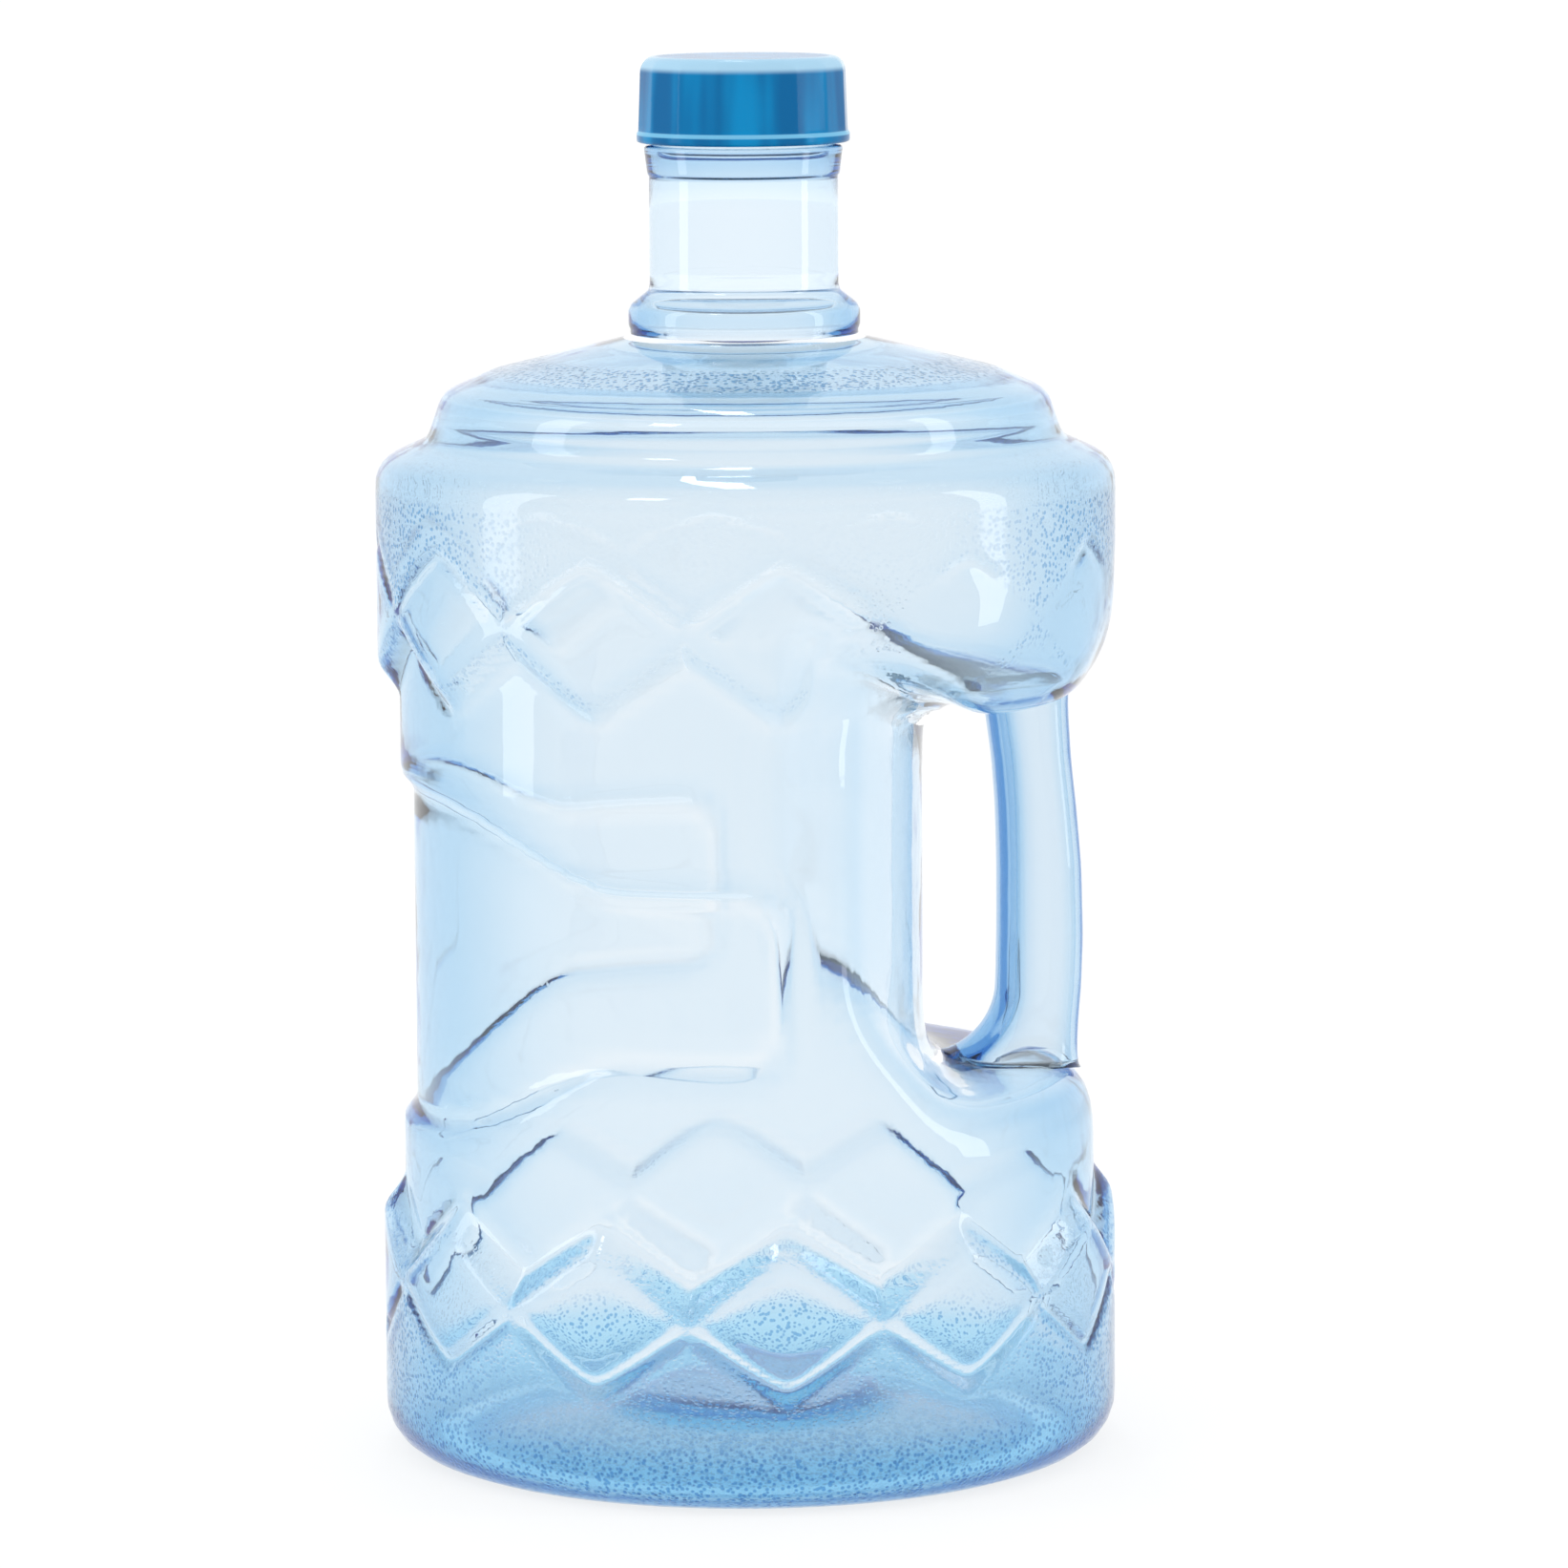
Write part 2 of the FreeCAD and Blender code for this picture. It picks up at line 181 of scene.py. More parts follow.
def band(z, alpha, mid_z, up, groove):
    """How far a band is raised, from 0 to 1, its engraved lines' depth, and the distance to a diamond."""
    pitch = 2.0 * math.pi / DIAMONDS
    across = BAND_R * (alpha - pitch * np.round(alpha / pitch))
    rise = up * (z - mid_z)
    diamond = np.hypot(across, TIP_ROUND) / DIAMOND_W + np.hypot(rise, SIDE_ROUND) / DIAMOND_H - 1.0
    diamond = diamond * DIAMOND_W * DIAMOND_H / math.hypot(DIAMOND_W, DIAMOND_H)
    solid = smooth_min(diamond, -rise, CORNER_BLEND)
    depth, half_width = groove
    line = depth * np.exp(-((diamond / half_width) ** 2)) * smooth_step(0.3 + rise / 6.0)
    return smooth_step(1.0 - solid / STEP_W), line, diamond


def panel(z, alpha):
    """How far the grip panel at the back is sunk, from 0 to 1."""
    x = WAIST_R * np.cos(alpha)
    knee_x = PANEL_KNEE_X + PANEL_KNEE_ROUND
    back = smooth_step((knee_x - x) / (WAIST_R + knee_x))
    top = PANEL_TOP_Z + (PANEL_BACK_TOP_Z - PANEL_TOP_Z) * back
    low = PANEL_LOW_Z + (PANEL_BACK_LOW_Z - PANEL_LOW_Z) * back
    inside = smooth_min(smooth_min(top - z, z - low, PANEL_BLEND), PANEL_EDGE_X - x, PANEL_BLEND)
    return smooth_step(inside / PANEL_STEP_W)


def side_radius(z, alpha, engraved):
    """The side's outside radius where there is no pocket, with or without its engraved lines."""
    upper, upper_line, _ = band(z, alpha, UPPER_MID_Z, 1.0, UPPER_GROOVE)
    lower, lower_line, _ = band(z, alpha, LOWER_MID_Z, -1.0, LOWER_GROOVE)
    raised = np.maximum(upper, lower)
    radius = WAIST_R + (BAND_R - WAIST_R) * raised - (WAIST_R - PANEL_R) * panel(z, alpha)
    if engraved:
        radius = radius - upper_line - lower_line
    return radius


def shelf_z(x):
    """Height of the pocket's shelf at a distance towards the grip bar."""
    slope = (POCKET_SIDE_LOW_Z - SHELF_Z) / (POCKET_FLOOR_X - POCKET_SIDE_X)
    past_side = np.maximum(POCKET_SIDE_X + SHELF_FLARE_X - x, 0.0)
    return SHELF_Z + slope * np.maximum(POCKET_FLOOR_X - x, 0.0) + SHELF_FLARE * past_side ** 2


def ceiling_z(x):
    """Height of the pocket's ceiling at a distance towards the grip bar."""
    slope = (POCKET_SIDE_TOP_Z - CEILING_Z) / (CEILING_KNEE_X - CEILING_SIDE_X)
    return CEILING_Z + slope * np.clip(CEILING_KNEE_X - x, 0.0, CEILING_KNEE_X - CEILING_SIDE_X)


def side_path(alpha, engraved, pocket=True):
    """The side's outline in the half-plane at alpha, from the base's corner to the shoulder."""
    z = np.arange(BAND_LOW_Z, BAND_HIGH_Z + DENSE / 2, DENSE)
    r = side_radius(z, alpha, engraved)
    path = np.stack([r, z], axis=1)
    centre_x = POCKET_FLOOR_R - POCKET_FLOOR_X
    cos, sin = math.cos(alpha), math.sin(alpha)
    if cos <= 0.0 or not pocket:
        return path
    floor_r = math.sqrt(POCKET_FLOOR_R ** 2 - (centre_x * sin) ** 2) - centre_x * cos
    floor_r = float(smooth_min(floor_r, WAIST_R, POCKET_BLEND))
    depth = WAIST_R - floor_r
    cut = np.nonzero((z > shelf_z(r * cos)) & (z < ceiling_z(r * cos)))[0]
    if depth < LEAST_DEPTH or len(cut) < LEAST_POINTS:
        return path
    first, last = cut[0], cut[-1]
    inward = np.linspace(r[first], floor_r, POCKET_POINTS)
    outward = np.linspace(floor_r, r[last], POCKET_POINTS)
    pieces = [
        path[:first],
        np.stack([inward, shelf_z(inward * cos)], axis=1),
        np.stack([outward, ceiling_z(outward * cos)], axis=1),
        path[last + 1:],
    ]
    cut_path = even(np.concatenate(pieces), DENSE)
    smooth = softened(cut_path, POCKET_SOFT)
    s = lengths(cut_path)
    start, end = z[first] - BAND_LOW_Z, s[-1] - (BAND_HIGH_Z - z[last])
    weight = smooth_step((s - start + SOFT_REACH) / SOFT_RAMP)
    weight = weight * smooth_step((end + SOFT_REACH - s) / SOFT_RAMP) * smooth_step(depth / SOFT_DEPTH)
    return cut_path + (smooth - cut_path) * weight[:, None]


def side_rows(path):
    """Rows picked along a side path. Those beside the pocket are spread by distance, to follow it."""
    s = lengths(path)
    start = np.interp(POCKET_FROM_Z, path[:, 1], s)
    end = s[-1] - (BAND_HIGH_Z - POCKET_TO_Z)
    low = np.linspace(0.0, start, int((POCKET_FROM_Z - BAND_LOW_Z) / FINE) + 1)[:-1]
    plain = np.arange(POCKET_FROM_Z, POCKET_KNEE_Z - LEAST_GAP * MEDIUM, MEDIUM)
    relief = np.arange(POCKET_KNEE_Z, POCKET_TO_Z - LEAST_GAP * FINE, FINE)
    middle = (np.concatenate([plain, relief]) - POCKET_FROM_Z) / (POCKET_TO_Z - POCKET_FROM_Z)
    middle = start + middle * (end - start)
    high = np.linspace(end, s[-1], int((BAND_HIGH_Z - POCKET_TO_Z) / FINE) + 1)
    return along(path, np.concatenate([low, middle, high]))


def blurred(values, sigma, axis):
    """A grid of values smoothed along one axis, with its ends taken as joined."""
    reach = int(3.0 * sigma)
    total = np.zeros_like(values)
    weights = 0.0
    for step in range(-reach, reach + 1):
        weight = math.exp(-0.5 * (step / sigma) ** 2)
        total += weight * np.roll(values, step, axis=axis)
        weights += weight
    return total / weights


def side_grid():
    """The side's outside as a grid of points: rows from the base's corner up, each one round the axis."""
    alphas = np.arange(COLUMNS) * 2.0 * math.pi / COLUMNS
    cut, plain = [], []
    for alpha in alphas:
        cut.append(side_rows(side_path(alpha, True)))
        plain.append(side_rows(side_path(alpha, True, False)))
    cut, plain = np.array(cut), np.array(plain)
    moved = (np.abs(cut - plain).max(axis=2) > LEAST_MOVE).astype(float)
    near = smooth_step(2.0 * blurred(blurred(moved, *MASK_ACROSS), *MASK_ALONG))[:, :, None]
    soft = blurred(blurred(cut, *SOFT_ACROSS), *SOFT_ALONG)
    grid = cut + (soft - cut) * near
    softer = blurred(blurred(grid, *SOFTER_ACROSS), *SOFTER_ALONG)
    ceiling = near * smooth_step((cut[:, :, 1:] - CEILING_SOFT_Z) / CEILING_SOFT_RISE)
    r, z = np.moveaxis(grid + (softer - grid) * ceiling, 2, 0)
    cos, sin = np.cos(alphas)[:, None], np.sin(alphas)[:, None]
    return np.stack([r * cos, r * sin, z], axis=2).transpose(1, 0, 2)


def inside_of(grid):
    """The inside of the side wall: the outside, softened a little and moved in by the wall's thickness."""
    between = slice(END_ROWS, -END_ROWS)
    soft = grid.copy()
    soft[between] = blurred(blurred(grid, INSIDE_ALONG, 0), INSIDE_ACROSS, 1)[between]
    around = np.roll(soft, -1, axis=1) - np.roll(soft, 1, axis=1)
    up = np.gradient(soft, axis=0)
    normal = np.cross(around, up)
    normal /= np.linalg.norm(normal, axis=2)[:, :, None]
    inside = soft - WALL * normal
    inside[between] = blurred(inside, INSIDE_ALONG, 0)[between]
    return inside


# ---- the jug's base, shoulder and neck, as corners of (r, z, fillet radius) ------------------------------
BASE = [
    (0.0, 14.0, 0.0), (36.0, 14.0, 3.0), (42.0, 9.0, 4.0), (84.0, 0.0, 3.0),
    (BAND_R, 0.0, 14.0), (BAND_R, BAND_LOW_Z, 0.0),
]
BASE_INSIDE = [
    (0.0, 17.2, 0.0), (36.0, 17.2, 4.0), (43.0, 11.6, 4.0), (84.6, 2.4, 4.0),
    (BAND_R - WALL, 2.4, 12.4), (BAND_R - WALL, BAND_LOW_Z, 0.0),
]
SHOULDER = [
    (BAND_R, BAND_HIGH_Z, 0.0), (BAND_R, 291.0, 9.0), (92.8, 298.0, 4.0), (88.3, 311.0, 7.0),
    (75.0, 317.0, 12.0), (31.0, 328.0, 1.2), (33.8, 329.8, 1.6), (33.8, 336.0, 3.0),
    (27.3, 341.2, 1.2), (27.5, 342.6, 0.5), (27.5, 372.0, 0.0),
]
NECK_TOP = [
    (27.5, 372.0, 0.0), (27.5, 374.0, 0.3), (28.0, 374.5, 0.3), (29.0, 382.6, 0.8), (FINISH_R, 382.9, 0.0),
]
SHOULDER_INSIDE = [
    (BAND_R - WALL, BAND_HIGH_Z, 0.0), (BAND_R - WALL, 290.2, 7.9), (91.7, 297.2, 5.1), (87.4, 310.0, 5.9),
    (74.8, 315.8, 10.9), (40.0, 324.6, 8.0), (31.8, 328.6, 3.0), (31.8, 335.4, 3.0),
    (26.6, 341.0, 3.0), (26.6, 367.0, 10.0), (24.9, 385.0, 6.0), (BORE_R, 388.0, 0.0),
]
THREAD_FROM_Z, THREAD_CLEAR = 383.6, 0.9        # start of the threaded rings, and their gap to the rim
BAND_START = 0.7                                # drop of a plain ring below the side's first row


def thread_height(z, alpha, low_z, tooth):
    """A helical thread's height, from 0 to 1, at a height and a plan angle; its ends fade out."""
    height = np.zeros(np.broadcast(z, alpha).shape)
    crest, root = tooth
    for i in range(THREAD_STARTS):
        start = i * 2.0 * math.pi / THREAD_STARTS
        for lap in range(-1, 3):
            rise = (alpha - start) / (2.0 * math.pi) + lap
            off = np.abs(z - (low_z + THREAD_LEAD * rise))
            flank = np.clip((root - off) / (root - crest), 0.0, 1.0)
            ends = smooth_step(rise / THREAD_FADE) * smooth_step((THREAD_TURNS - rise) / THREAD_FADE)
            height = np.maximum(height, flank * ends)
    return height


def ring(r, z, count):
    """Points round the axis, at a height and at a radius that is one number or one for every point."""
    alphas = np.arange(count) * 2.0 * math.pi / count
    return np.stack([r * np.cos(alphas), r * np.sin(alphas), np.full(count, z)], axis=1)


def side_rings(grid, on_relief, elsewhere, rows_apart):
    """Rings picked from a grid of side points, with fewer points round them where there is no relief."""
    last = len(grid) - 1
    rings = []
    for row in [*range(0, last, rows_apart), last]:
        height = grid[row, COLUMNS // 2, 2]
        relief = any(low < height < high for low, high in RELIEF)
        rings.append(grid[row, :: COLUMNS // (on_relief if relief else elsewhere)])
    return rings


def jug_rings():
    """The jug body's outer and inner rings of points, in millimetres, from the base's middle to the rim."""
    alphas = np.arange(QUARTER) * 2.0 * math.pi / QUARTER
    grid = side_grid()
    outer = [ring(r, z, QUARTER) for r, z in even(rounded(BASE), BASE_STEP)[1:-1]]
    outer.append(ring(BAND_R, BAND_LOW_Z - BAND_START, HALF))
    outer += side_rings(grid, COLUMNS, HALF, 1)
    shoulder = even(rounded(SHOULDER), SHOULDER_STEP)[1:]
    outer.append(ring(*shoulder[0], HALF))
    outer += [ring(r, z, QUARTER) for r, z in shoulder[1:]]
    outer += [ring(r, z, QUARTER) for r, z in even(rounded(NECK_TOP), NECK_STEP)[1:]]
    for z in np.arange(THREAD_FROM_Z, RIM_Z - THREAD_CLEAR, THREAD_STEP):
        tooth = thread_height(z, alphas, THREAD_LOW_Z, NECK_TOOTH)
        outer.append(ring(FINISH_R + (THREAD_R - FINISH_R) * tooth, z, QUARTER))
    outer += [ring(FINISH_R, RIM_Z - RIM_ROUND, QUARTER), ring(FINISH_R - RIM_ROUND, RIM_Z, QUARTER)]

    inner = [ring(r, z, QUARTER) for r, z in even(rounded(BASE_INSIDE), BASE_INSIDE_STEP)[1:-1]]
    inner += side_rings(inside_of(grid), HALF, QUARTER, 2)
    inner += [ring(r, z, QUARTER) for r, z in even(rounded(SHOULDER_INSIDE), SHOULDER_INSIDE_STEP)[1:]]
    inner += [ring(BORE_R, RIM_Z - RIM_ROUND, QUARTER), ring(BORE_R + RIM_ROUND, RIM_Z, QUARTER)]
    return outer, inner


# ---- meshes ---------------------------------------------------------------------------------------------
def strip(first, count, above, above_count):
    """Faces between two neighbouring rings, whose counts are equal or one twice the other."""
    faces = []
    for c in range(min(count, above_count)):
        d = (c + 1) % min(count, above_count)
        even_c, odd_c, even_d = 2 * c, 2 * c + 1, 2 * d
        if count == above_count:
            faces.append((first + c, first + d, above + d, above + c))
        elif count < above_count:
            faces.append((first + c, above + odd_c, above + even_c))
            faces.append((first + c, first + d, above + odd_c))
            faces.append((first + d, above + even_d, above + odd_c))
        else:
            faces.append((first + even_c, first + odd_c, above + c))
            faces.append((first + odd_c, above + d, above + c))
            faces.append((first + odd_c, first + even_d, above + d))
    return faces


def ring_faces(counts, first, flip):
    """Faces between neighbouring rings of the given counts, facing out unless flipped."""
    faces = []
    for count, above_count in zip(counts, counts[1:]):
        faces += strip(first, count, first + count, above_count)
        first += count
    return [face[::-1] for face in faces] if flip else faces


def fan(centre, first, n_columns, flip):
    """Triangles from a centre point to a ring of points."""
    tris = []
    for column in range(n_columns):
        tri = (centre, first + (column + 1) % n_columns, first + column)
        tris.append(tri[::-1] if flip else tri)
    return tris


def make_object(name, points, faces, material, floats=None):
    """A smooth-shaded object from points in metres, with optional float attributes on its points."""
    mesh = bpy.data.meshes.new(name)
    mesh.from_pydata([tuple(p) for p in points], [], faces)
    mesh.polygons.foreach_set("use_smooth", [True] * len(mesh.polygons))
    for key, values in (floats or {}).items():
        values = np.asarray(values, dtype=np.float32)
        mesh.attributes.new(key, "FLOAT", "POINT").data.foreach_set("value", values)
    mesh.materials.append(material)
    mesh.update()
    obj = bpy.data.objects.new(name, mesh)
    bpy.context.scene.collection.objects.link(obj)
    return obj


SHOULDER_RING = (57.0, 75.5)                    # radii between which the shoulder is etched
NECK_DEPTH, SIDE_DEPTH, BASE_DEPTH, DISH_DEPTH = 0.1, 0.5, 1.0, 1.5     # levels of the plastic's tint


def stipple_at(points):
    """Where the mould was etched: the bands outside their diamonds, the base, and a shoulder ring."""
    x, y, z = points.T
    r = np.hypot(x, y)
    alpha = np.arctan2(y, x)
    upper, _, upper_diamond = band(z, alpha, UPPER_MID_Z, 1.0, UPPER_GROOVE)
    lower, _, lower_diamond = band(z, alpha, LOWER_MID_Z, -1.0, LOWER_GROOVE)
    upper = upper * (z < BAND_HIGH_Z + 4.0) * smooth_step(upper_diamond / 2.0)
    lower = lower * (z > 18.0) * smooth_step(lower_diamond / 2.0)
    near_band = smooth_step((r - WAIST_R - 2.0) / 2.5)
    base = smooth_step((22.0 - z) / 4.0)
    inner_r, outer_r = SHOULDER_RING
    around = smooth_step((r - inner_r) / 1.5) * smooth_step((outer_r - r) / 1.5) * (z > 300.0)
    return np.maximum(np.maximum(np.maximum(upper, lower) ** 2 * near_band, base), around)


def depth_at(points):
    """How deep the plastic's tint is: less on the neck and round the pocket, more towards the base."""
    x, y, z = points.T
    r = np.hypot(x, y)
    pocket = smooth_step((WAIST_R - 3.0 - r) / 8.0) * (z > 100.0) * (z < 246.0) * (x > 8.0)
    neck = smooth_step((z - 330.0) / 14.0)
    base = smooth_step((30.0 - z) / 22.0)
    dish = smooth_step((46.0 - r) / 5.0) * (z < 25.0)
    depth = SIDE_DEPTH - (SIDE_DEPTH - NECK_DEPTH) * np.maximum(neck, 0.9 * pocket)
    return depth + (BASE_DEPTH - SIDE_DEPTH) * base + (DISH_DEPTH - BASE_DEPTH) * dish


def jug_body(material):
    """The moulded shell: outside and inside rings, joined at the rim and closed in the base's middle."""
    outer, inner = jug_rings()
    middle = np.array([[0.0, 0.0, BASE[0][1]], [0.0, 0.0, BASE_INSIDE[0][1]]])
    points = np.concatenate(outer + inner + [middle])
    n_outer, n_inner = sum(map(len, outer)), sum(map(len, inner))
    faces = ring_faces([len(r) for r in outer], 0, False)
    faces += ring_faces([len(r) for r in inner], n_outer, True)
    faces += fan(n_outer + n_inner, 0, QUARTER, False)
    faces += fan(n_outer + n_inner + 1, n_outer, QUARTER, True)
    faces += strip(n_outer - QUARTER, QUARTER, n_outer + n_inner - QUARTER, QUARTER)
    stipple = stipple_at(points)
    stipple[n_outer:] = 0.0
    floats = {"stipple": stipple, "depth": depth_at(points)}
    return make_object("jug_shell", points * MM, faces, material, floats)


# ---- the grip bar ---------------------------------------------------------------------------------------
GRIP_HALF_T = 13.5
GRIP_WALLS = (3.8, 1.7, 1.6)                    # round its core: at the hand gap, outside and at the sides
GRIP_CORE = (0.002, 0.998)                      # how far along the bar its core runs
GRIP_ROWS, GRIP_COLUMNS, GRIP_SQUARENESS = 96, 64, 2.5
GRIP_FOOT_ROUND, GRIP_HEAD_ROUND = 20.0, 6.0    # fillets of its inner edge at the shelf and at the ceiling
GRIP_OUTER_SPREAD, GRIP_SIDE_SPREAD = 0.12, 0.25     # shares of those fillets on its other sides
GRIP_EASE = 6                                   # rows each way over which the bow's corners are eased
GRIP_SINK = 0.8                                 # how far its ends sink into the moulded wall
GRIP_BOW = [                                    # height, inner x, outer x
    (SHELF_Z, 72.5, 96.2),
    (SHELF_Z + 10.0, 72.9, 97.4),
    (SHELF_Z + 22.0, 73.6, 98.7),
    (SHELF_Z + 38.0, 73.9, 99.3),
    (SHELF_Z + 58.0, 73.9, 98.8),
    (CEILING_Z - 36.0, 73.5, 97.4),
    (CEILING_Z - 22.0, 72.5, 95.8),
    (CEILING_Z - 8.0, 70.6, 94.9),
    (CEILING_Z, 69.4, 94.8),
]


def fillet(height, radius):
    """How far a fillet of this radius stands out from a wall, at a height above the floor."""
    short = np.clip(1.0 - height / radius, 0.0, 1.0)
    return radius * (1.0 - np.sqrt(1.0 - short ** 2))


def grip_rings(insets, low, high):
    """Rounded-oblong sections of the bar, moved in by the insets, between two shares of its length."""
    along_bar = np.linspace(low, high, GRIP_ROWS)
    z = SHELF_Z + (CEILING_Z - SHELF_Z) * along_bar
    table = np.array(GRIP_BOW)
    kernel = np.hanning(2 * GRIP_EASE + 1)
    kernel /= kernel.sum()

    def eased(column):
        values = np.interp(z, table[:, 0], table[:, column])
        before = 2 * values[0] - values[GRIP_EASE:0:-1]
        after = 2 * values[-1] - values[-2:-GRIP_EASE - 2:-1]
        return np.convolve(np.concatenate([before, values, after]), kernel, mode="valid")

    spread = fillet(z - SHELF_Z, GRIP_FOOT_ROUND) + fillet(CEILING_Z - z, GRIP_HEAD_ROUND)
    inner_x = eased(1) - spread + insets[0]
    outer_x = eased(2) + GRIP_OUTER_SPREAD * spread - insets[1]
    half_t = GRIP_HALF_T + GRIP_SIDE_SPREAD * spread - insets[2]
    turn = np.arange(GRIP_COLUMNS) * 2.0 * math.pi / GRIP_COLUMNS
    cos, sin = np.cos(turn), np.sin(turn)
    shape_x = np.sign(cos) * np.abs(cos) ** (2.0 / GRIP_SQUARENESS)
    shape_y = np.sign(sin) * np.abs(sin) ** (2.0 / GRIP_SQUARENESS)
    x = (inner_x + outer_x)[:, None] / 2 + (outer_x - inner_x)[:, None] / 2 * shape_x
    y = half_t[:, None] * shape_y
    floor_z = np.array([wall_z(px, py, False) for px, py in zip(x[0], y[0])]) - GRIP_SINK
    ceiling = np.array([wall_z(px, py, True) for px, py in zip(x[-1], y[-1])]) + GRIP_SINK
    return np.stack([x, y, floor_z + (ceiling - floor_z) * along_bar[:, None]], axis=2)


def grip_bar(material):
    """The bar: a closed skin along a gentle bow, its ends sunk into the pocket's wall, and a hollow core."""
    points, faces = [], []
    for insets, low, high, flip in (((0.0, 0.0, 0.0), 0.0, 1.0, False), (GRIP_WALLS, *GRIP_CORE, True)):
        rings = grip_rings(insets, low, high)
        first = sum(len(p) for p in points)
        points += [rings.reshape(-1, 3), rings[:1].mean(axis=1), rings[-1:].mean(axis=1)]
        count = GRIP_ROWS * GRIP_COLUMNS
        faces += ring_faces([GRIP_COLUMNS] * GRIP_ROWS, first, flip)
        faces += fan(first + count, first, GRIP_COLUMNS, flip)
        faces += fan(first + count + 1, first + count - GRIP_COLUMNS, GRIP_COLUMNS, not flip)
    return make_object("grip_bar", np.concatenate(points) * MM, faces, material)


def wall_z(x, y, top):
    """Height of the pocket's ceiling or shelf above a point, from the side path through it."""
    path = side_path(math.atan2(y, x), False)
    r = math.hypot(x, y)
    middle = (SHELF_Z + CEILING_Z) / 2
    if top:
        part = path[(path[:, 1] > middle) & (path[:, 1] < CEILING_Z + 20.0)]
        return float(np.interp(r, part[:, 0], part[:, 1]))
    part = path[(path[:, 1] < middle) & (path[:, 1] > SHELF_Z - 20.0)][::-1]
    return float(np.interp(r, part[:, 0], part[:, 1]))


# ---- the cap --------------------------------------------------------------------------------------------
CAP_FACET_ROUND = 2.5                           # height over which the facets run out at its top


def screw_cap(material):
    """The faceted cap as a closed skin: over the top, down the facets and flange, up the threaded bore."""
    alphas = np.arange(CAP_COLUMNS) * 2.0 * math.pi / CAP_COLUMNS + CAP_FIRST_CORNER
    pitch = 2.0 * math.pi / CAP_FACETS
    off = np.abs(alphas - CAP_FIRST_CORNER - pitch * np.round((alphas - CAP_FIRST_CORNER) / pitch))
    flat = math.cos(pitch / 2) / np.cos(pitch / 2 - off)
    low, high = CAP_LOW[2], CAP_HIGH[2]
    outside = rounded([
        (0.0, high, 0.0), (29.9, high, 4.4), (30.7, low + 3.2, 0.5), (31.0, low + 2.9, 0.6),
        (31.0, low, 0.7), (29.4, low, 0.0),
    ])
    rows = []
    for r, z in even(outside, CAP_STEP)[1:]:
        amount = smooth_step((z - low - 3.0) / 0.8) * smooth_step((high - z) / CAP_FACET_ROUND)
        rows.append((r * (1.0 + (flat - 1.0) * amount), z))
    rows.append((CAP_BORE_R, low + 0.6))
    bore_top = high - CAP_TOP_T
    thread_low_z = THREAD_LOW_Z - THREAD_LEAD / THREAD_STARTS / 2
    for z in np.arange(low + 1.2, bore_top - 0.4, CAP_THREAD_STEP):
        tooth = thread_height(z, alphas, thread_low_z, CAP_TOOTH)
        rows.append((CAP_BORE_R - (CAP_BORE_R - CAP_THREAD_R) * tooth, z))
    rows.append((CAP_BORE_R - 0.5, bore_top))
    cos, sin = np.cos(alphas), np.sin(alphas)
    rings = [np.stack([r * cos, r * sin, np.full(CAP_COLUMNS, z)], axis=1) for r, z in rows]
    points = np.concatenate(rings + [np.array([[0.0, 0.0, high], [0.0, 0.0, bore_top]])]) * MM
    total = len(rows) * CAP_COLUMNS
    faces = ring_faces([CAP_COLUMNS] * len(rows), 0, True)
    faces += fan(total, 0, CAP_COLUMNS, True)
    faces += fan(total + 1, total - CAP_COLUMNS, CAP_COLUMNS, False)
    return make_object("screw_cap_skin", points, faces, material)


# ---- materials ------------------------------------------------------------------------------------------
PLASTIC_IOR, PLASTIC_ROUGHNESS, ETCHED_ROUGHNESS = 1.47, 0.015, 0.10
SHELL_ABSORB, SHELL_DENSITY = (0.13, 0.56, 0.84), 135.0
GRIP_ABSORB, GRIP_DENSITY = (0.16, 0.56, 0.84), 128.0
FACE_TINT = (0.965, 0.965, 0.965)               # seen square on
SHELL_GRAZING_SHADE, GRIP_GRAZING_SHADE = (0.66, 0.83, 0.94), (0.84, 0.93, 0.97)    # painted shade, deepening the tint seen at a grazing angle
GRIP_RIM_SHADE = (0.20, 0.50, 0.74)              # painted shade on the grip bar's walls seen edge on
NECK_TINT, BASE_TINT, DISH_TINT = (0.985, 0.99, 0.995), (0.56, 0.84, 0.97), (0.20, 0.66, 0.94)
# painted shade that darkens the etched pits, and the scale of their noise
PIT_SHADE, PIT_SCALE = (0.07, 0.30, 0.62), 640.0
# painted shade and painted light of the cap's facets, laid out at random as streaks
CAP_SHADED, CAP_LIT = (0.0, 0.115, 0.30), (0.0, 0.225, 0.49)
# painted highlights along the cap's rounded top edge and along the top of its flange
CAP_BEVEL_HIGHLIGHT, CAP_BEAD_HIGHLIGHT = (0.36, 0.57, 0.72), (0.16, 0.46, 0.68)
CAP_SHADE_STREAKS = (95.0, 95.0, 12.0)                # noise cells to the metre, drawn out up the cap into streaks of painted facet shade and light
FOAM_BRIGHT, FOAM_DARK = (0.88, 0.9, 0.92), (0.78, 0.81, 0.84)
FLOOR_DARK, FLOOR_BRIGHT, FLOOR_GLOW = (0.215, 0.22, 0.225), (0.23, 0.23, 0.23), 0.78


def new_material(name):
    """A node material, its tree, its shader and its output."""
    material = bpy.data.materials.new(name)
    material.use_nodes = True
    tree = material.node_tree
    return material, tree, tree.nodes["Principled BSDF"], tree.nodes["Material Output"]


def link(tree, source, target):
    tree.links.new(source, target)


def math_node(tree, operation, *values):
    """A math node whose inputs are numbers or other nodes' outputs."""
    node = tree.nodes.new("ShaderNodeMath")
    node.operation = operation
    for socket, value in zip(node.inputs, values):
        if isinstance(value, (int, float)):
            socket.default_value = value
        else:
            link(tree, value, socket)
    return node.outputs["Value"]


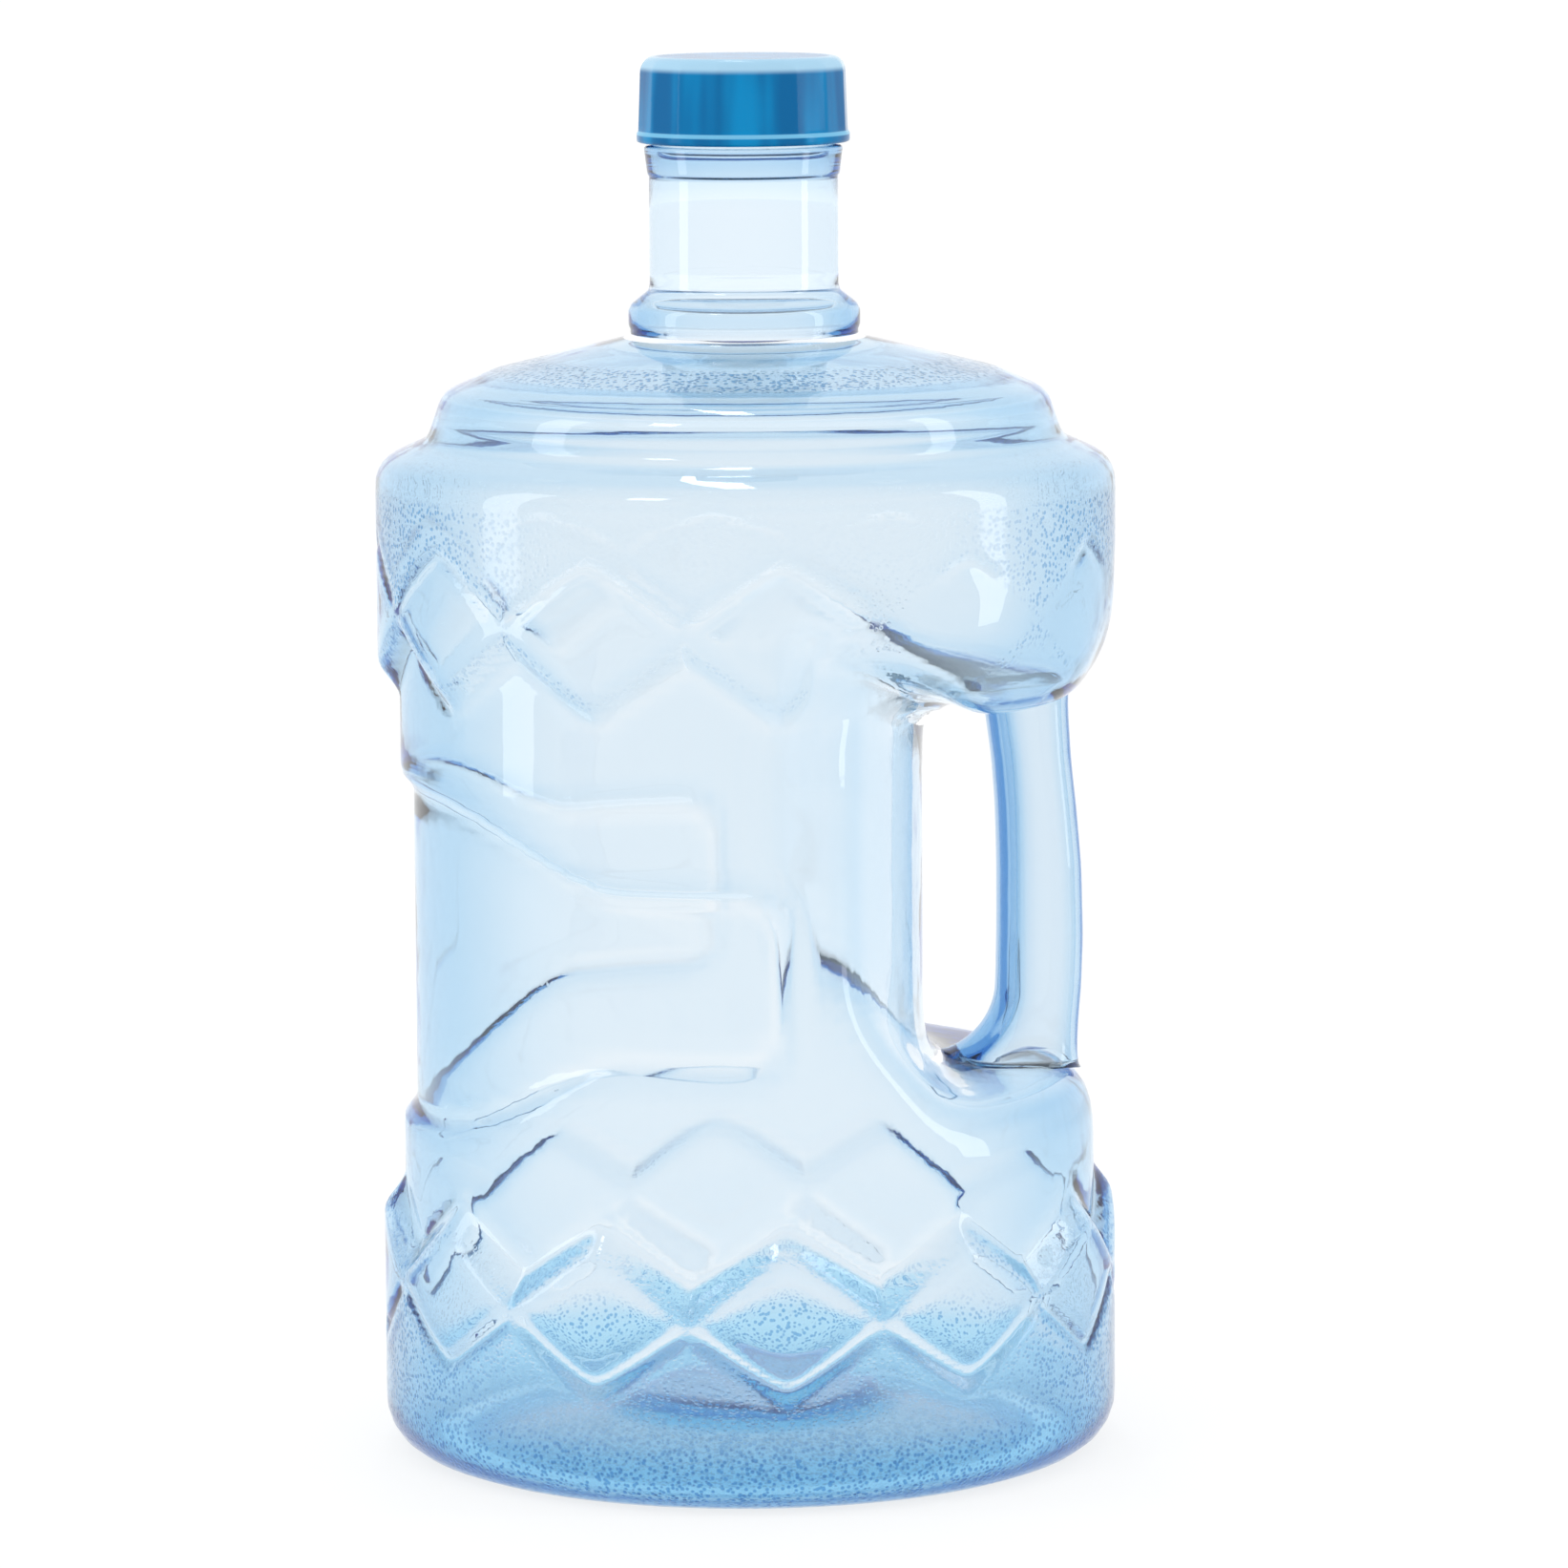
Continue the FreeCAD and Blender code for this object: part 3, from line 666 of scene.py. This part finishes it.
def smooth_range(tree, value, low, high):
    """A value turned into a smooth step from 0 at low to 1 at high."""
    node = tree.nodes.new("ShaderNodeMapRange")
    node.interpolation_type = "SMOOTHSTEP"
    node.inputs["From Min"].default_value = low
    node.inputs["From Max"].default_value = high
    link(tree, value, node.inputs["Value"])
    return node.outputs["Result"]


def mixed_colour(tree, amount, first, second):
    """A blend of two colours, each one a constant or another node's output."""
    node = tree.nodes.new("ShaderNodeMix")
    node.data_type = "RGBA"
    link(tree, amount, node.inputs["Factor"])
    for socket, colour in ((node.inputs[6], first), (node.inputs[7], second)):
        if isinstance(colour, tuple):
            socket.default_value = (*colour, 1.0)
        else:
            link(tree, colour, socket)
    return node.outputs[2]


def texture(tree, kind, scale, output):
    """A procedural texture over the piece's own coordinates."""
    coords = tree.nodes.new("ShaderNodeTexCoord")
    node = tree.nodes.new(kind)
    node.inputs["Scale"].default_value = scale
    link(tree, coords.outputs["Object"], node.inputs["Vector"])
    return node.outputs[output]


def bump(tree, height, strength, distance, over=None):
    """A surface normal from a height, on top of another normal if one is given."""
    node = tree.nodes.new("ShaderNodeBump")
    node.inputs["Strength"].default_value = strength
    node.inputs["Distance"].default_value = distance
    link(tree, height, node.inputs["Height"])
    if over is not None:
        link(tree, over, node.inputs["Normal"])
    return node.outputs["Normal"]


def attribute(tree, name):
    """A float that the mesh stores at its points."""
    node = tree.nodes.new("ShaderNodeAttribute")
    node.attribute_name = name
    return node.outputs["Fac"]


def clear_plastic(name, absorb, density, grazing_shade):
    """Clear tinted plastic: glassy and absorbing through its thickness, with painted shade deepening its
    tint at a grazing angle.
    """
    material, tree, shader, output = new_material(name)
    shader.inputs["Transmission Weight"].default_value = 1.0
    shader.inputs["IOR"].default_value = PLASTIC_IOR
    shader.inputs["Roughness"].default_value = PLASTIC_ROUGHNESS
    volume = tree.nodes.new("ShaderNodeVolumeAbsorption")
    volume.inputs["Color"].default_value = (*absorb, 1.0)
    volume.inputs["Density"].default_value = density
    link(tree, volume.outputs["Volume"], output.inputs["Volume"])
    # Painted shade: the tint deepens as a surface turns edge on to the view.
    facing = tree.nodes.new("ShaderNodeLayerWeight").outputs["Facing"]
    tint = mixed_colour(tree, smooth_range(tree, facing, 0.10, 0.6), FACE_TINT, grazing_shade)
    normal = bump(tree, texture(tree, "ShaderNodeTexNoise", 38.0, "Fac"), 0.15, 0.0012)
    return material, tree, shader, facing, tint, normal


def shell_plastic():
    """The jug body's plastic: its tint deepens towards the base, and its etched parts are pitted, with
    painted shade darkening the pits.
    """
    material, tree, shader, facing, tint, normal = clear_plastic(
        "clear_blue", SHELL_ABSORB, SHELL_DENSITY, SHELL_GRAZING_SHADE)
    depth = attribute(tree, "depth")
    less = math_node(tree, "SUBTRACT", 1.0, smooth_range(tree, depth, NECK_DEPTH, SIDE_DEPTH))
    tint = mixed_colour(tree, less, tint, NECK_TINT)
    tint = mixed_colour(tree, smooth_range(tree, depth, SIDE_DEPTH, BASE_DEPTH), tint, BASE_TINT)
    tint = mixed_colour(tree, smooth_range(tree, depth, BASE_DEPTH, DISH_DEPTH), tint, DISH_TINT)
    etched = attribute(tree, "stipple")
    pits = texture(tree, "ShaderNodeTexVoronoi", PIT_SCALE, "Distance")
    pit = math_node(tree, "SUBTRACT", 1.0, smooth_range(tree, pits, 0.30, 0.46))
    pit = math_node(tree, "MULTIPLY", pit, etched)
    # The pits' tint is painted shade, deepest at a grazing angle and low down on the jug.
    grazing = smooth_range(tree, facing, 0.12, 0.55)
    low_down = smooth_range(tree, depth, 0.45, 0.9)
    pit_shade = math_node(tree, "MULTIPLY", pit, math_node(tree, "MAXIMUM", grazing, low_down))
    tint = mixed_colour(tree, pit_shade, tint, PIT_SHADE)
    normal = bump(tree, pit, 0.25, 0.0002, normal)
    rough = tree.nodes.new("ShaderNodeMapRange")
    rough.inputs["To Min"].default_value = PLASTIC_ROUGHNESS
    rough.inputs["To Max"].default_value = ETCHED_ROUGHNESS
    link(tree, etched, rough.inputs["Value"])
    link(tree, rough.outputs["Result"], shader.inputs["Roughness"])
    link(tree, tint, shader.inputs["Base Color"])
    link(tree, normal, shader.inputs["Normal"])
    return material


def grip_plastic():
    """The grip bar's plastic, with painted shade that makes its walls much deeper where they are seen edge
    on.
    """
    material, tree, shader, facing, tint, normal = clear_plastic(
        "clear_blue_grip", GRIP_ABSORB, GRIP_DENSITY, GRIP_GRAZING_SHADE)
    # Painted shade on the bar's walls where they are seen edge on.
    tint = mixed_colour(tree, smooth_range(tree, facing, 0.6, 0.9), tint, GRIP_RIM_SHADE)
    link(tree, tint, shader.inputs["Base Color"])
    link(tree, normal, shader.inputs["Normal"])
    return material


def vector_math(tree, operation, vector, by=None):
    """A vector math node on another node's output, by a constant where the operation takes one."""
    node = tree.nodes.new("ShaderNodeVectorMath")
    node.operation = operation
    if by is not None:
        node.inputs[1].default_value = by
    link(tree, vector, node.inputs[0])
    return node.outputs["Value" if operation == "LENGTH" else "Vector"]


def cap_plastic():
    """Glossy opaque blue plastic with a faint grain, streaked with painted shade and light of its facets,
    and paler along its rounded top edge and its flange from painted highlights.
    """
    material, tree, shader, _ = new_material("cap_blue")
    coords = tree.nodes.new("ShaderNodeTexCoord").outputs["Object"]
    split = tree.nodes.new("ShaderNodeSeparateXYZ")
    link(tree, coords, split.inputs["Vector"])
    z = split.outputs["Z"]
    radius = vector_math(tree, "LENGTH", vector_math(tree, "MULTIPLY", coords, (1.0, 1.0, 0.0)))
    # Vertical streaks of painted facet shade and light.
    streaks = tree.nodes.new("ShaderNodeTexNoise")
    streaks.inputs["Scale"].default_value = 1.0
    link(tree, vector_math(tree, "MULTIPLY", coords, CAP_SHADE_STREAKS), streaks.inputs["Vector"])
    blue = mixed_colour(tree, smooth_range(tree, streaks.outputs["Fac"], 0.35, 0.65), CAP_SHADED, CAP_LIT)
    top, low = CAP_HIGH[2] * MM, CAP_LOW[2] * MM
    # A painted highlight along the rounded top edge.
    near_top = smooth_range(tree, z, top - 4.6 * MM, top - 2.6 * MM)
    near_edge = smooth_range(tree, radius, 24.0 * MM, 26.5 * MM)
    # A painted highlight in a band along the top of the flange.
    above_flange = smooth_range(tree, z, low + 2.0 * MM, low + 2.5 * MM)
    past_bead = smooth_range(tree, z, low + 3.2 * MM, low + 3.6 * MM)
    bead = math_node(tree, "MULTIPLY", above_flange, math_node(tree, "SUBTRACT", 1.0, past_bead))
    blue = mixed_colour(tree, math_node(tree, "MULTIPLY", near_top, near_edge), blue, CAP_BEVEL_HIGHLIGHT)
    blue = mixed_colour(tree, bead, blue, CAP_BEAD_HIGHLIGHT)
    link(tree, blue, shader.inputs["Base Color"])
    grain = texture(tree, "ShaderNodeTexNoise", 500.0, "Fac")
    link(tree, bump(tree, grain, 0.08, 0.0003), shader.inputs["Normal"])
    shader.inputs["Roughness"].default_value = 0.16
    shader.inputs["IOR"].default_value = 1.5
    shader.inputs["Specular IOR Level"].default_value = 0.12
    return material


def foam():
    """White closed-cell foam for the liner."""
    material, tree, shader, _ = new_material("liner_foam")
    cells = texture(tree, "ShaderNodeTexVoronoi", 1400.0, "Distance")
    link(tree, bump(tree, cells, 0.4, 0.0002), shader.inputs["Normal"])
    link(tree, mixed_colour(tree, cells, FOAM_BRIGHT, FOAM_DARK), shader.inputs["Base Color"])
    shader.inputs["Roughness"].default_value = 0.75
    return material


def floor_paint():
    """Pale matt floor that glows a little, with a very faint mottle."""
    material, tree, shader, _ = new_material("floor_pale")
    mottle = texture(tree, "ShaderNodeTexNoise", 3.0, "Fac")
    link(tree, mixed_colour(tree, mottle, FLOOR_DARK, FLOOR_BRIGHT), shader.inputs["Base Color"])
    shader.inputs["Roughness"].default_value = 0.9
    shader.inputs["Specular IOR Level"].default_value = 0.1
    shader.inputs["Emission Color"].default_value = (1.0, 1.0, 1.0, 1.0)
    shader.inputs["Emission Strength"].default_value = FLOOR_GLOW
    return material


# ---- stage, in metres -----------------------------------------------------------------------------------
FLOOR_HALF = 60.0
SKY_STRENGTH, SKY_LOW, SKY_HIGH = 1.12, (1.0, 1.0, 1.0, 1.0), (0.8, 0.84, 0.88, 1.0)
LAMPS = [                                       # name, place, height aimed at, width and length, radiance
    ("overhead", (0.0, 0.71, 2.06), 0.3, (0.16, 0.9), 8.0),
    ("strip_left", (-1.15, -0.13, 0.62), 0.35, (0.29, 1.2), 2.4),
    ("strip_right", (1.11, -0.33, 0.62), 0.35, (0.22, 1.2), 3.0),
    ("front_left", (-0.75, -0.82, 1.5), 0.3, (0.25, 0.25), 8.0),
]
CAMERA_TURN, CAMERA_ROLL = 5.5, -0.32           # degrees
CAMERA_DISTANCE, CAMERA_HEIGHT = 2.190, 0.496
AIM_HEIGHT, AIM_RIGHT = 0.1952, 0.0108
LENS, SENSOR = 172.7, 36.0                      # millimetres
BOUNCES, CLEAR_BOUNCES = 48, 24


def floor():
    """A wide plain floor that the jug stands on."""
    corners = [(-FLOOR_HALF, -FLOOR_HALF, 0), (FLOOR_HALF, -FLOOR_HALF, 0)]
    corners += [(FLOOR_HALF, FLOOR_HALF, 0), (-FLOOR_HALF, FLOOR_HALF, 0)]
    mesh = bpy.data.meshes.new("floor")
    mesh.from_pydata(corners, [], [(0, 1, 2, 3)])
    mesh.materials.append(floor_paint())
    obj = bpy.data.objects.new("floor", mesh)
    bpy.context.scene.collection.objects.link(obj)


def softbox(name, place, aim_height, size, radiance):
    """A rectangular studio lamp: its width lies level, and its length runs up, or back overhead."""
    light = bpy.data.lights.new(name, "AREA")
    light.shape = "RECTANGLE"
    light.size, light.size_y = size
    light.energy = radiance * math.pi * size[0] * size[1]
    obj = bpy.data.objects.new(name, light)
    obj.location = place
    aim = Vector((0.0, 0.0, aim_height))
    obj.rotation_euler = (aim - Vector(place)).to_track_quat("-Z", "Y").to_euler()
    obj.visible_camera = False
    obj.visible_transmission = False
    bpy.context.scene.collection.objects.link(obj)


def sky():
    """A soft surround, a little brighter low down."""
    world = bpy.data.worlds.new("studio")
    world.use_nodes = True
    bpy.context.scene.world = world
    tree = world.node_tree
    coords = tree.nodes.new("ShaderNodeTexCoord")
    split = tree.nodes.new("ShaderNodeSeparateXYZ")
    shade = tree.nodes.new("ShaderNodeValToRGB")
    shade.color_ramp.elements[0].color = SKY_LOW
    shade.color_ramp.elements[1].color = SKY_HIGH
    link(tree, coords.outputs["Generated"], split.inputs["Vector"])
    link(tree, split.outputs["Z"], shade.inputs["Fac"])
    link(tree, shade.outputs["Color"], tree.nodes["Background"].inputs["Color"])
    tree.nodes["Background"].inputs["Strength"].default_value = SKY_STRENGTH


def camera():
    """Eye-level studio view from a little above, with the grip bar on the right."""
    turned = math.radians(CAMERA_TURN)
    data = bpy.data.cameras.new("camera")
    data.sensor_width, data.lens = SENSOR, LENS
    obj = bpy.data.objects.new("camera", data)
    place = Vector((-math.sin(turned) * CAMERA_DISTANCE, -math.cos(turned) * CAMERA_DISTANCE, CAMERA_HEIGHT))
    right = Vector((math.cos(turned), -math.sin(turned), 0.0))
    aim = Vector((0.0, 0.0, AIM_HEIGHT)) + right * AIM_RIGHT
    look = (aim - place).to_track_quat("-Z", "Y").to_matrix().to_4x4()
    roll = Matrix.Rotation(math.radians(CAMERA_ROLL), 4, "Z")
    obj.matrix_world = Matrix.Translation(place) @ look @ roll
    data.clip_end = 200.0
    bpy.context.scene.collection.objects.link(obj)
    bpy.context.scene.camera = obj


# ---- put together ---------------------------------------------------------------------------------------
shell = jug_body(shell_plastic())
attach(shell, "jug")
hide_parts("jug_body")

bar = grip_bar(grip_plastic())
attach(bar, "jug")
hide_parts("handle_grip")

cap = screw_cap(cap_plastic())
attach(cap, "cap")
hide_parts("screw_cap")

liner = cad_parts["cap_liner"]
liner.data.materials.clear()
liner.data.materials.append(foam())

floor()
sky()
for lamp in LAMPS:
    softbox(*lamp)
camera()

scene = bpy.context.scene
scene.view_settings.view_transform = "Standard"
scene.view_settings.look = "None"
scene.cycles.max_bounces = BOUNCES
scene.cycles.transmission_bounces = BOUNCES
scene.cycles.glossy_bounces = BOUNCES
scene.cycles.transparent_max_bounces = CLEAR_BOUNCES
